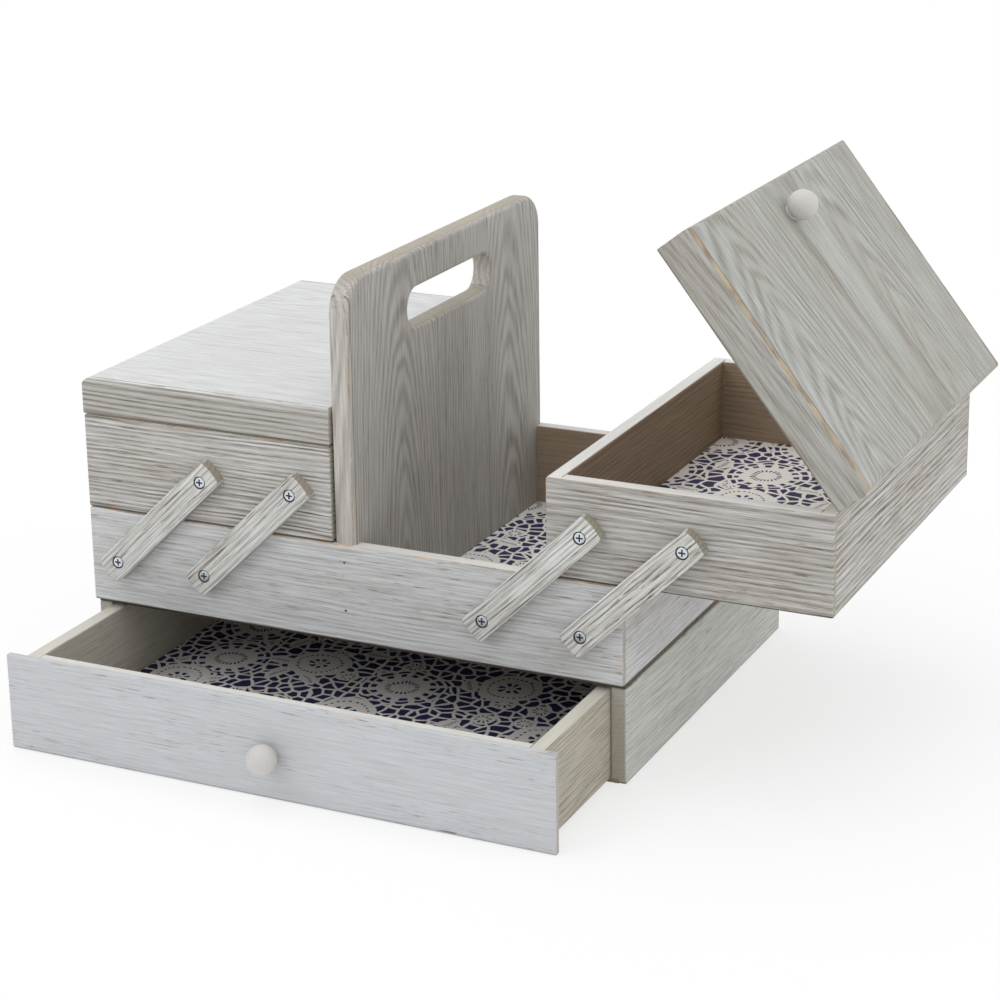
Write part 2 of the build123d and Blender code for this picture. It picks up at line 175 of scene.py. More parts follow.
# %% Lamps
def soft_lamp(name, place, aim, width, height, watts, tint=(1, 1, 1)):
    """A rectangular lamp that points at a spot."""
    data = bpy.data.lights.new(name, "AREA")
    data.shape = "RECTANGLE"
    data.size = width
    data.size_y = height
    data.energy = watts
    data.color = tint
    lamp = bpy.data.objects.new(name, data)
    scene.collection.objects.link(lamp)
    lamp.location = place
    lamp.rotation_euler = (Vector(aim) - Vector(place)).to_track_quat("-Z", "Y").to_euler()
    return lamp


soft_lamp("overhead", (-0.4, 0.1, 2.3), (0.0, 0.0, 0.1), 2.2, 2.2, 15.6)
soft_lamp("front_left", (-1.1, -1.9, 1.75), (0.0, 0.0, 0.12), 1.2, 1.2, 8.4)
soft_lamp("right_fill", (2.5, 0.1, 1.2), (0.1, 0.0, 0.15), 1.6, 1.6, 10.0)
scene.view_settings.view_transform = "Standard"

# %% [markdown]
# Growth rings
#
# Every stripe on these boards is a growth ring of the tree, cut through. Wave Texture could draw stripes, but
# they would stop at a board's edge and start again on the next face. A tree's rings are tubes round its pith,
# so this node group measures how far each point lies from a pith line and counts rings from there. Stripes on
# a face, arches where the cut leans, and arcs on the end grain then all come from the same few sums.
# Lengths go in as the board's own: X along the grain, Y across the face, Z out of the face.

# %% Growth ring group
rings = bpy.data.node_groups.new("growth_rings", "ShaderNodeTree")
rings.interface.new_socket("Point", in_out="INPUT", socket_type="NodeSocketVector")
for name in ("Pith Y", "Pith Z", "Lean", "Ring", "Wander", "Seed"):
    rings.interface.new_socket(name, in_out="INPUT", socket_type="NodeSocketFloat")
rings.interface.new_socket("Late Wood", in_out="OUTPUT", socket_type="NodeSocketFloat")
rings.interface.new_socket("Relief", in_out="OUTPUT", socket_type="NodeSocketFloat")
given = rings.nodes.new("NodeGroupInput").outputs
point = add(rings, "SeparateXYZ", {0: given["Point"]})
moved = add(rings, "CombineXYZ", {"X": given["Seed"], "Y": given["Seed"], "Z": given["Seed"]})
seeded = add(rings, "VectorMath", {0: given["Point"], 1: moved.outputs[0]}, operation="ADD").outputs[0]
slow_scale = add(rings, "VectorMath", {0: seeded, 1: (5.0, 26.0, 26.0)}, operation="MULTIPLY").outputs[0]
slow = add(rings, "TexNoise", {"Vector": slow_scale, "Scale": 1.0, "Detail": 1.5}).outputs[0]
quick_scale = add(rings, "VectorMath", {0: seeded, 1: (24.0, 170.0, 170.0)}, operation="MULTIPLY").outputs[0]
quick_wave = add(rings, "TexNoise", {"Vector": quick_scale, "Scale": 1.0, "Detail": 2.0}).outputs[0]
across = calc(rings, "SUBTRACT", point.outputs["Y"], given["Pith Y"])
depth = calc(rings, "SUBTRACT", point.outputs["Z"], given["Pith Z"])
depth = calc(rings, "ADD", depth, calc(rings, "MULTIPLY", given["Lean"], point.outputs["X"]))
squares = calc(rings, "ADD", calc(rings, "POWER", across, 2.0), calc(rings, "POWER", depth, 2.0))
distance = calc(rings, "SQRT", squares)
drift = calc(rings, "MULTIPLY", calc(rings, "SUBTRACT", slow, 0.5), given["Wander"])
ripple = calc(rings, "MULTIPLY", calc(rings, "SUBTRACT", quick_wave, 0.5), 0.0016)
distance = calc(rings, "ADD", distance, calc(rings, "ADD", drift, ripple))
count = calc(rings, "DIVIDE", distance, given["Ring"])
uneven = add(rings, "TexNoise", {"W": count, "Scale": 0.45, "Detail": 0.0}, noise_dimensions="1D").outputs[0]
count = calc(rings, "ADD", count, calc(rings, "MULTIPLY", uneven, 0.9))
number = calc(rings, "FLOOR", count)
share = calc(rings, "SUBTRACT", count, number)
darkening = ramp(rings, share, 0.12, 0.52)
ending = ramp(rings, share, 0.60, 1.0, 1.0, 0.0)
band = calc(rings, "MULTIPLY", darkening, ending)
own = add(rings, "TexWhiteNoise", {"W": number}, noise_dimensions="1D").outputs[0]
fading = calc(rings, "MULTIPLY", ramp(rings, slow, 0.30, 0.70), 0.30)
strength = calc(rings, "ADD", calc(rings, "MULTIPLY_ADD", own, 0.35, 0.50), fading)
given_out = rings.nodes.new("NodeGroupOutput")
rings.links.new(calc(rings, "MULTIPLY", band, strength), given_out.inputs["Late Wood"])
rings.links.new(band, given_out.inputs["Relief"])
print("ring group has", len(rings.nodes), "nodes")

# %% [markdown]
# Fibres and worn edges
#
# Between the rings, brushing opens the wood into fine streaks and short dark pores that run along the grain.
# Noise stretched along one axis gives both, about forty times for the streaks and sixteen for the shorter
# pores. A board's arrises are rubbed back to bare wood, which shows as a thin warm line. The Bevel node or
# Geometry's Pointiness could find them, but the first renders slowly and the second needs a dense mesh. A
# board is a plain block, so a few sums on its size find them. How far a point lies inside each pair of faces
# gives three numbers, and where two of them are small the point is near an edge. Edges along the grain and
# edges at the board's ends are kept apart, because hands rub the long ones more.
# The same distances place a painted shadow line where a rounded arris meets the face.

# %% Fibre and edge groups
fibres = bpy.data.node_groups.new("wood_fibres", "ShaderNodeTree")
fibres.interface.new_socket("Point", in_out="INPUT", socket_type="NodeSocketVector")
for name in ("Streaks", "Pores", "Patches"):
    fibres.interface.new_socket(name, in_out="OUTPUT", socket_type="NodeSocketFloat")
given = fibres.nodes.new("NodeGroupInput").outputs
given_out = fibres.nodes.new("NodeGroupOutput")


def stretched_noise(tree, vector, stretch, detail, roughness=0.55):
    """Noise drawn out along the grain; the stretch is in cycles per metre."""
    scaled = add(tree, "VectorMath", {0: vector, 1: stretch}, operation="MULTIPLY").outputs[0]
    made = add(tree, "TexNoise", {"Vector": scaled, "Scale": 1.0, "Detail": detail, "Roughness": roughness})
    return made.outputs[0]


streaks = stretched_noise(fibres, given["Point"], (30.0, 1150.0, 1150.0), 4.0, 0.66)
pores = stretched_noise(fibres, given["Point"], (55.0, 900.0, 900.0), 2.0)
patches = stretched_noise(fibres, given["Point"], (6.0, 24.0, 24.0), 3.0)
fibres.links.new(ramp(fibres, streaks, 0.32, 0.68), given_out.inputs["Streaks"])
fibres.links.new(ramp(fibres, pores, 0.60, 0.70), given_out.inputs["Pores"])
fibres.links.new(ramp(fibres, patches, 0.36, 0.66), given_out.inputs["Patches"])

edges = bpy.data.node_groups.new("edge_distance", "ShaderNodeTree")
edges.interface.new_socket("Point", in_out="INPUT", socket_type="NodeSocketVector")
edges.interface.new_socket("Half Size", in_out="INPUT", socket_type="NodeSocketVector")
for name in ("Long Edge", "End Edge", "On Face"):
    edges.interface.new_socket(name, in_out="OUTPUT", socket_type="NodeSocketFloat")
given = edges.nodes.new("NodeGroupInput").outputs
given_out = edges.nodes.new("NodeGroupOutput")
flat = add(edges, "VectorMath", {0: given["Point"]}, operation="ABSOLUTE").outputs[0]
inset = add(edges, "VectorMath", {0: given["Half Size"], 1: flat}, operation="SUBTRACT").outputs[0]
along_in, across_in, face_in = add(edges, "SeparateXYZ", {0: inset}).outputs
long_edge = calc(edges, "MAXIMUM", across_in, face_in)
end_edge = calc(edges, "MAXIMUM", along_in, calc(edges, "MINIMUM", across_in, face_in))
edges.links.new(long_edge, given_out.inputs["Long Edge"])
edges.links.new(end_edge, given_out.inputs["End Edge"])
edges.links.new(calc(edges, "LESS_THAN", face_in, across_in), given_out.inputs["On Face"])
print("fibre group has", len(fibres.nodes), "nodes, edge group", len(edges.nodes))

# %% [markdown]
# A board's finish
#
# One function now builds the material of any board. The board's own axes come from a Mapping node: the X
# axis is laid along its grain and the Z axis out of its good face. The colours then build up as the maker's
# do: pale wash, darker rings through it, streaks and pores, end grain that drinks the wash and turns tan,
# paler rims on some boxes, bare wood at the arrises, and a brown stain where the wash was left off. Some
# boards also get painted shade: darker colour along the lower seam and a lid's underside, a dark line where
# a rounded arris meets the face, and a dark ring round each arm screw. The same rings and streaks also
# drive a fine Bump, since the wood was wire-brushed. A picture of real boards would be quicker but would
# repeat from board to board and break at every corner.

# %% Board material
def board_axes(along, across):
    """Turn from the board's own axes to the box's: grain, then face width, then out of the face."""
    first = Vector(along).normalized()
    second = Vector(across).normalized()
    return Matrix((first, second, first.cross(second))).transposed()


def board_point(tree, middle, axes):
    """The place on a board, in metres from its middle, along its own axes."""
    place = add(tree, "TexCoord").outputs["Object"]
    turn = axes.to_euler("XYZ")
    mapping = add(tree, "Mapping", {"Vector": place, "Location": middle, "Rotation": turn},
                  vector_type="TEXTURE")
    return mapping.outputs[0]


def cut_rings(tree, point, cut, seed):
    """Rings as one stave shows them: cut gives the pith's place, its lean, ring width and wander."""
    group = add(tree, "Group")
    group.node_tree = rings
    tree.links.new(point, group.inputs["Point"])
    for name, value in zip(("Pith Y", "Pith Z", "Lean", "Ring", "Wander", "Seed"), (*cut, seed)):
        group.inputs[name].default_value = value
    return group.outputs["Late Wood"], group.outputs["Relief"]


def staves(tree, point, cuts, seed):
    """Rings of boards glued edge to edge; each cut starts at its own place across the board."""
    late, relief = cut_rings(tree, point, cuts[0][1:], seed)
    across = add(tree, "SeparateXYZ", {0: point}).outputs["Y"]
    joints = 0.0
    for order, (start, *cut) in enumerate(cuts[1:]):
        next_late, next_relief = cut_rings(tree, point, cut, seed + 3.1 * (order + 1))
        beyond = ramp(tree, across, start - 0.0001, start + 0.0001)
        late = add(tree, "Mix", {0: beyond, 2: late, 3: next_late}).outputs[0]
        relief = add(tree, "Mix", {0: beyond, 2: relief, 3: next_relief}).outputs[0]
        gap = calc(tree, "ABSOLUTE", calc(tree, "SUBTRACT", across, start))
        joints = calc(tree, "ADD", joints, ramp(tree, gap, 0.0002, 0.0007, 1.0, 0.0))
    return late, relief, joints


def facing(tree, direction, low=0.80, high=0.97):
    """How squarely the surface faces along a direction, either way."""
    normal = add(tree, "TexCoord").outputs["Normal"]
    share = add(tree, "VectorMath", {0: normal, 1: direction}, operation="DOT_PRODUCT").outputs["Value"]
    return ramp(tree, calc(tree, "ABSOLUTE", share), low, high)


def thin_line(tree, distance, start, end):
    """One where a distance lies between two values, with soft sides."""
    rise = ramp(tree, distance, start - 0.0001, start + 0.0001)
    return calc(tree, "MULTIPLY", rise, ramp(tree, distance, end, end + 0.0002, 1.0, 0.0))


def wood_shade(tree, point, shifted, finish, cuts, seed, ring_share):
    """How far each point goes from the wash to the grain's colour, and the height of the brushed surface."""
    late, relief, joints = staves(tree, point, cuts, seed)
    fine = add(tree, "Group")
    fine.node_tree = fibres
    tree.links.new(shifted, fine.inputs["Point"])
    streak, pore, patch = (fine.outputs[key] for key in ("Streaks", "Pores", "Patches"))
    fibred = calc(tree, "MULTIPLY", late, calc(tree, "MULTIPLY_ADD", streak, 0.5, 0.70))
    shade = calc(tree, "MULTIPLY_ADD", fibred, ring_share, finish["base"])
    streak_part = calc(tree, "MULTIPLY", calc(tree, "SUBTRACT", streak, 0.5), finish["streaks"])
    pore_part = calc(tree, "MULTIPLY", calc(tree, "MULTIPLY", pore, patch), finish["pores"])
    shade = calc(tree, "ADD", calc(tree, "ADD", shade, streak_part), pore_part, clamp=True)
    height = calc(tree, "MULTIPLY_ADD", relief, -finish["relief"], calc(tree, "MULTIPLY", streak, -0.4))
    height = calc(tree, "SUBTRACT", height, calc(tree, "MULTIPLY", pore, 0.6))
    height = calc(tree, "SUBTRACT", height, calc(tree, "MULTIPLY", joints, 0.6))
    return shade, patch, joints, height


def worn_and_shaded_edges(tree, point, shifted, half_size, finish, colour):
    """Bare wood at the arrises, a painted shadow line where a round arris meets the face, painted shade at
    the bottom.
    """
    gauge = add(tree, "Group")
    gauge.node_tree = edges
    tree.links.new(point, gauge.inputs["Point"])
    gauge.inputs["Half Size"].default_value = half_size
    long_edge, end_edge, on_face = (gauge.outputs[key] for key in ("Long Edge", "End Edge", "On Face"))
    _, across, depth = add(tree, "SeparateXYZ", {0: point}).outputs
    chance = stretched_noise(tree, shifted, (26.0, 26.0, 26.0), 4.0, 0.7)
    hue = ramp(tree, stretched_noise(tree, shifted, (55.0, 90.0, 90.0), 2.0), 0.40, 0.62)
    bare = mix(tree, hue, finish["bare"], finish["bare_dark"])
    favoured = calc(tree, "GREATER_THAN", calc(tree, "MULTIPLY", across, float(finish["wear_side"])), 0.0)
    threshold = calc(tree, "MULTIPLY_ADD", favoured, -0.10, finish["wear_from"] + 0.10)
    luck = ramp(tree, calc(tree, "SUBTRACT", chance, threshold), 0.0, 0.06)
    grained = ramp(tree, stretched_noise(tree, shifted, (20.0, 1400.0, 1400.0), 2.0), 0.35, 0.55, 0.45, 1.0)
    rub = calc(tree, "MULTIPLY", thin_line(tree, long_edge, *finish["wear_band"]),
               calc(tree, "MULTIPLY", luck, grained))
    if finish["wear_on_face"]:
        rub = calc(tree, "MULTIPLY", rub, on_face)
    end_luck = ramp(tree, calc(tree, "SUBTRACT", chance, finish["wear_from"] + 0.05), 0.0, 0.06)
    end_rub = calc(tree, "MULTIPLY", thin_line(tree, end_edge, *finish["end_band"]), end_luck)
    rub = calc(tree, "MAXIMUM", rub, calc(tree, "MULTIPLY", end_rub, 0.7))
    colour = mix(tree, calc(tree, "MULTIPLY", rub, finish["wear"]), colour, bare)
    # Painted shadow: a dark line where a rounded arris meets the flat face, like the shade of a small step
    # there.
    if finish["edge_shadow_line"]:
        line = calc(tree, "MULTIPLY", thin_line(tree, long_edge, *finish["edge_shadow_line"]), on_face)
        line = calc(tree, "MULTIPLY", line, ramp(tree, chance, 0.36, 0.50, 0.25, 0.75))
        colour = mix(tree, line, colour, finish["edge_shadow_colour"])
    # Painted shade: a board's bottom strip and bottom face, or a lid's whole underside, are darkened as shade
    # in the seam between stacked boxes.
    if finish["seam_shade"]:
        upward, half_height = (depth, half_size[2]) if finish["seam_shade_below_face"] else (across, half_size[1])
        seam = ramp(tree, calc(tree, "ADD", upward, half_height), 0.0008, 0.0018, finish["seam_shade"], 0.0)
        colour = mix(tree, seam, colour, finish["seam_shade_colour"])
    return colour


rim_share = 0.75
stain_depth = 0.0006
# Painted shadow: a dark ring round each arm screw's counterbore, between these two radii.
seat_edge = 0.00435
seat_fade = 0.0047
seat_shadow = srgb(84, 77, 68)


def board_material(name, middle, half_size, axes, finish, cuts, seed, inside=0, seats=()):
    """A washed board; inside is the side of its Z axis with the stain, seats are its screws along X, each
    with a painted shadow ring.
    """
    material = bpy.data.materials.new(name)
    material.use_nodes = True
    tree = material.node_tree
    shader = tree.nodes["Principled BSDF"]
    point = board_point(tree, middle, axes)
    offset = (seed, seed * 0.7, seed * 1.3)
    shifted = add(tree, "VectorMath", {0: point, 1: offset}, operation="ADD").outputs[0]
    wash = finish["wash"]
    ring_share = finish["rings"]
    if "face_wash" in finish:
        on_good_face = facing(tree, axes.col[2])
        wash = mix(tree, on_good_face, finish["wash"], finish["face_wash"])
        ring_share = add(tree, "Mix", {0: on_good_face, 2: finish["rings"],
                                       3: finish["face_rings"]}).outputs[0]
    shade, patch, joints, height = wood_shade(tree, point, shifted, finish, cuts, seed, ring_share)
    colour = mix(tree, shade, wash, finish["grain"])
    colour = mix(tree, calc(tree, "MULTIPLY", patch, finish["clouds"]), colour, finish["cloud_colour"])
    colour = mix(tree, calc(tree, "MULTIPLY", joints, 0.30), colour, finish["grain"])
    end_grain = calc(tree, "MULTIPLY", facing(tree, axes.col[0], 0.75, 0.93), finish["end_share"])
    colour = mix(tree, end_grain, colour, finish["end_colour"])
    if "rim_wash" in finish:
        on_rim = calc(tree, "MULTIPLY", facing(tree, axes.col[1]), rim_share)
        colour = mix(tree, on_rim, colour, finish["rim_wash"])
    colour = worn_and_shaded_edges(tree, point, shifted, half_size, finish, colour)
    length, width, depth = add(tree, "SeparateXYZ", {0: point}).outputs
    if inside:
        limit = half_size[2] - stain_depth
        within = ramp(tree, calc(tree, "MULTIPLY", depth, float(inside)), limit - 0.0004, limit)
        stained = mix(tree, calc(tree, "MULTIPLY", shade, 0.55), finish["stain"], finish["stain_grain"])
        colour = mix(tree, within, colour, stained)
    # Each screw seat gets a ring of painted shadow.
    for seat in seats:
        spot = add(tree, "CombineXYZ", {0: calc(tree, "SUBTRACT", length, seat), 1: width}).outputs[0]
        away = add(tree, "VectorMath", {0: spot}, operation="LENGTH").outputs["Value"]
        colour = mix(tree, ramp(tree, away, seat_edge, seat_fade, 0.8, 0.0), colour, seat_shadow)
    tree.links.new(colour, shader.inputs["Base Color"])
    bump = add(tree, "Bump", {"Strength": 0.5, "Distance": 0.00022, "Height": height})
    tree.links.new(bump.outputs[0], shader.inputs["Normal"])
    rough = ramp(tree, shade, 0.0, 1.0, finish["rough"] - 0.06, finish["rough"] + 0.12)
    tree.links.new(rough, shader.inputs["Roughness"])
    shader.inputs["Specular IOR Level"].default_value = 0.3
    return material


print("board materials are ready to make")

# %% [markdown]
# The finishes
#
# The boards share one recipe but not one look. The swinging trays, lids and arms have bold taupe stripes,
# the fixed tray and case are flatter and finer, the drawer's face is cool and pale, and the handle board is
# darker. The two swinging trays differ in how strongly their rings show, and the rims of the trays and of
# the drawer's box took more wash than their faces. A dictionary per finish keeps those numbers together, and
# each starts from the striped one. Colours are 0 to 255, bands and lines are metres in from an edge, and most
# of the rest are shares of 1.

# %% Finishes
striped = {
    "wash": srgb(228, 229, 227), "grain": srgb(104, 90, 74), "cloud_colour": srgb(160, 152, 138),
    "stain": srgb(176, 156, 134), "stain_grain": srgb(92, 78, 62),
    "bare": srgb(194, 170, 130), "bare_dark": srgb(146, 122, 92), "edge_shadow_colour": srgb(104, 90, 72),
    "end_colour": srgb(158, 148, 130), "end_share": 0.6,
    "base": 0.20, "rings": 0.66, "streaks": 0.38, "pores": 0.45, "clouds": 0.32,
    "relief": 0.18, "rough": 0.62,
    "wear": 0.75, "wear_band": (0.0, 0.00062), "end_band": (0.0, 0.0006), "wear_from": 0.53, "wear_side": 1,
    "wear_on_face": False, "edge_shadow_line": None,
    # Next line: the strength, colour and side of the painted shade along a board's bottom and in the seam
    # below it.
    "seam_shade": 0.85, "seam_shade_colour": srgb(52, 44, 36), "seam_shade_below_face": False,
}
tray_finish = {side: {**striped, "rim_wash": srgb(238, 238, 234), "base": base, "rings": rings_share}
               for side, base, rings_share in (("left", 0.27, 0.52), ("right", 0.40, 0.38))}
arm_finish = {**striped, "wash": srgb(228, 229, 226), "base": 0.14, "rings": 0.46, "streaks": 0.62,
              "pores": 0.90, "clouds": 0.18, "wear_from": 0.60, "wear_side": 0,
              "end_colour": srgb(146, 134, 112), "end_share": 0.75, "relief": 0.12, "seam_shade": 0.0}
lid_finish = {**striped, "wash": srgb(190, 190, 184), "face_wash": srgb(197, 200, 196), "face_rings": 0.26,
              "rings": 0.24, "base": 0.28, "streaks": 0.42, "pores": 0.26, "clouds": 0.28,
              "cloud_colour": srgb(158, 150, 134), "end_colour": srgb(196, 190, 174),
              "wear_side": -1, "wear_from": 0.30,
              "wear_band": (0.0016, 0.0047), "end_band": (0.0, 0.0004), "wear_on_face": True,
              # Next line: a painted shadow line where the rounded arris meets the face, and the painted
              # bottom shade put on the underside.
              "edge_shadow_line": (0.0047, 0.0056), "seam_shade_below_face": True,
              "bare": srgb(188, 162, 120), "bare_dark": srgb(130, 108, 78), "edge_shadow_colour": srgb(92, 78, 60)}
left_lid_finish = {**lid_finish, "wash": srgb(198, 197, 191), "face_wash": srgb(232, 234, 234),
                   "face_rings": 0.08, "rings": 0.56, "base": 0.20, "streaks": 0.30, "pores": 0.08,
                   "clouds": 0.12, "cloud_colour": srgb(200, 200, 196),
                   "wear_from": 0.50, "wear_band": (0.0032, 0.0047)}
flat_finish = {**striped, "wash": srgb(218, 220, 221), "grain": srgb(112, 104, 94),
               "bare": srgb(222, 172, 118), "rings": 0.20, "base": 0.12, "streaks": 0.42, "pores": 0.55,
               "clouds": 0.14, "relief": 0.20,
               "wear_from": 0.42, "wear_band": (0.0, 0.00080)}
fixed_finish = {**flat_finish, "rim_wash": srgb(226, 225, 220)}
case_finish = {**flat_finish, "wash": srgb(208, 210, 204), "cloud_colour": srgb(160, 160, 150),
               "wear_from": 0.52}
drawer_face = {**flat_finish, "wash": srgb(203, 205, 208), "grain": srgb(122, 118, 112), "rings": 0.08,
               "base": 0.06, "streaks": 0.22, "pores": 0.85, "clouds": 0.10,
               "cloud_colour": srgb(184, 188, 192), "rough": 0.55, "wear_band": (0.0, 0.00052),
               "wear_from": 0.56, "seam_shade": 0.35}
drawer_box = {**flat_finish, "wash": srgb(190, 185, 170), "rim_wash": srgb(220, 217, 207),
              "grain": srgb(108, 98, 80), "rings": 0.30, "streaks": 0.55,
              "cloud_colour": srgb(150, 142, 120), "wear_from": 0.62, "seam_shade": 0.0,
              "stain": srgb(192, 186, 174), "stain_grain": srgb(104, 96, 84)}
inner_front = {**drawer_box, "wash": srgb(206, 205, 199), "rim_wash": srgb(224, 223, 217)}
handle_finish = {**striped, "wash": srgb(206, 202, 194), "face_wash": srgb(202, 200, 194), "face_rings": 0.34,
                 "rings": 0.30, "grain": srgb(92, 84, 74), "base": 0.12, "streaks": 0.36, "clouds": 0.30,
                 "cloud_colour": srgb(146, 142, 134), "wear_side": -1, "wear_from": 0.46,
                 # Next line: the handle also gets a painted shadow line where its arris meets the face.
                 "wear_band": (0.0, 0.0014), "end_band": (0.0, 0.0002), "edge_shadow_line": (0.0036, 0.0042),
                 "seam_shade": 0.0}
print("the striped finish has", len(striped), "settings, and the others change some of them")

# %% [markdown]
# Boards that stand square
#
# The tables below only say which way the grain and the good face lie and how each was sawn from the log: a
# pith far to the side gives level stripes, and a pith close behind the face gives arches.

# %% Square boards
outward = {
    "front": ((1, 0, 0), (0, 0, 1), -1),
    "back": ((-1, 0, 0), (0, 0, 1), -1),
    "left_side": ((0, -1, 0), (0, 0, 1), -1),
    "right_side": ((0, 1, 0), (0, 0, 1), -1),
}


def paint(node, material):
    """Give a CAD piece its material."""
    mesh = nodes[node].data
    mesh.materials.clear()
    mesh.materials.append(material)


def paint_board(node, along, across, inside, finish, cuts, seed):
    """A board whose sides lie along the box's axes."""
    low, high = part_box(node)
    axes = board_axes(along, across)
    size = axes.transposed() @ (high - low)
    half_size = [abs(value) / 2 for value in size]
    material = board_material(node + "_wood", (low + high) / 2, half_size, axes, finish, cuts, seed, inside)
    paint(node, material)


def sawn(node, ring, pith=0.15, depth=0.02, lean=0.01, wander=0.01):
    """How a board was cut from the log, with small chance differences from board to board."""
    chance = random.Random(node)
    pith = pith * chance.choice((-1, 1)) * chance.uniform(0.85, 1.2)
    return [(None, pith, depth, lean * chance.uniform(-1, 1), ring * chance.uniform(0.92, 1.1), wander)]


painted = 0
for side in ("left", "right"):
    inner_place = {"left": "right_side", "right": "left_side"}[side]
    outer_place = side + "_side"
    for part, place in (("front", "front"), ("back", "back"), ("inner_side", inner_place),
                        ("outer_side", outer_place)):
        node = side + "_tray_" + part
        along, across, inside = outward[place]
        paint_board(node, along, across, inside, tray_finish[side], sawn(node, 0.0036), 1.7 + painted)
        painted += 1
for place, (along, across, inside) in outward.items():
    node = "fixed_tray_" + place
    paint_board(node, along, across, inside, fixed_finish, sawn(node, 0.0034), 11.3 + painted)
    painted += 1
for place in ("left_side", "right_side", "back"):
    along, across, inside = outward[place]
    node = "carcass_" + place
    paint_board(node, along, across, inside, case_finish, sawn(node, 0.0030), 21.9 + painted)
    painted += 1
for place in ("left_side", "right_side", "back"):
    along, across, inside = outward[place]
    node = "drawer_" + place
    paint_board(node, along, across, inside, drawer_box, sawn(node, 0.0022, 0.05, 0.03, 0.12), 31.4 + painted)
    painted += 1
along, across, inside = outward["front"]
paint_board("drawer_inner_front", along, across, inside, inner_front, sawn("drawer_inner_front", 0.003), 43.2)
paint_board("drawer_front", along, across, 0, drawer_face, sawn("drawer_front", 0.0030), 47.7)
print("painted", painted + 2, "square boards")

# %% [markdown]
# Thin panels
#
# The bottoms and the case's top are thin plain sheets that show only from below or inside the case. They
# take the flat finish with their grain along the front, in the browns of unwashed wood. The case's top shows
# as a dark line in a recess at the side, so its colours are darkened there as painted shade.

# %% Panels
panel_finish = {**flat_finish, "wash": srgb(170, 152, 126), "grain": srgb(112, 92, 68), "rings": 0.5,
                "cloud_colour": srgb(142, 124, 100), "relief": 0.3, "end_share": 0.0, "wear": 0.0,
                "seam_shade": 0.0}
# Painted shade: darker colours for the case's top, which sits in a shaded recess.
recess_shade_finish = {**panel_finish, "wash": srgb(96, 88, 76), "grain": srgb(52, 45, 37),
                "cloud_colour": srgb(70, 62, 52)}
panels = ("carcass_bottom", "carcass_top", "fixed_tray_bottom", "drawer_bottom", "left_tray_bottom",
          "right_tray_bottom")
for order, node in enumerate(panels):
    arches = [(None, 0.03, -0.06, 0.05, 0.006, 0.02)]
    chosen = recess_shade_finish if node == "carcass_top" else panel_finish
    paint_board(node, (1, 0, 0), (0, 1, 0), 0, chosen, arches, 53.1 + order)
print("painted", len(panels), "panels")

# %% [markdown]
# The handle board
#
# The tall board's grain stands upright and shows tall arches, because the board was cut near the middle of
# the log. Its rounded arris is rubbed to bare wood where it meets the flat face.

# %% Handle board
handle_low, handle_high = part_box("handle_panel")
handle_cuts = [
    (None, -0.075, -0.030, 0.14, 0.0036, 0.012),
    (-0.022, 0.16, -0.04, 0.03, 0.0030, 0.008),
    (0.058, 0.095, -0.034, 0.12, 0.0036, 0.012),
]
paint_board("handle_panel", (0, 0, 1), (0, 1, 0), 0, handle_finish, handle_cuts, 61.3)
print("handle board stands from", round(handle_low.z, 4), "to", round(handle_high.z, 4), "m")

# %% [markdown]
# Arms and lids
#
# An arm leans and the open lid is turned up, so their grain can't follow the box's axes. Their own axes come
# from the model's joints: each arm's line runs from its lower pivot to its upper one, and the lid's plane is
# turned about its hinge. The glued staves of a lid come from different logs, which the cuts list shows.

# %% Arms
arm_reach = 0.096
arm_run = 0.069
arm_end = 0.0125
arm_width = 0.020
arm_thickness = 0.008
arm_half = (arm_reach / 2 + arm_end, arm_width / 2, arm_thickness / 2)
joint_of = {joint["name"]: joint for joint in frame["joints"]}
arm_tilt = math.asin(arm_run / arm_reach)
arm_line = Vector((math.sin(arm_tilt), 0, math.cos(arm_tilt)))
for order, name in enumerate(sorted(name for name in nodes if name.endswith("_arm"))):
    pivot = Vector(joint_of[name.replace("_arm", "_swing")]["pos_m"])
    out = -1 if "front" in name else 1
    axes = board_axes(arm_line, Vector((0, out, 0)).cross(arm_line))
    middle = pivot + arm_line * arm_reach / 2
    chance = random.Random(name)
    cuts = [(None, chance.choice((-1, 1)) * chance.uniform(0.03, 0.05), 0.006, chance.uniform(-0.12, 0.12),
             0.0034, 0.011)]
    paint(name, board_material(name + "_wood", middle, arm_half, axes, arm_finish, cuts, 71.2 + 2.3 * order,
                               seats=(-arm_reach / 2, arm_reach / 2)))
print("arms lean", round(math.degrees(arm_tilt), 2), "degrees")

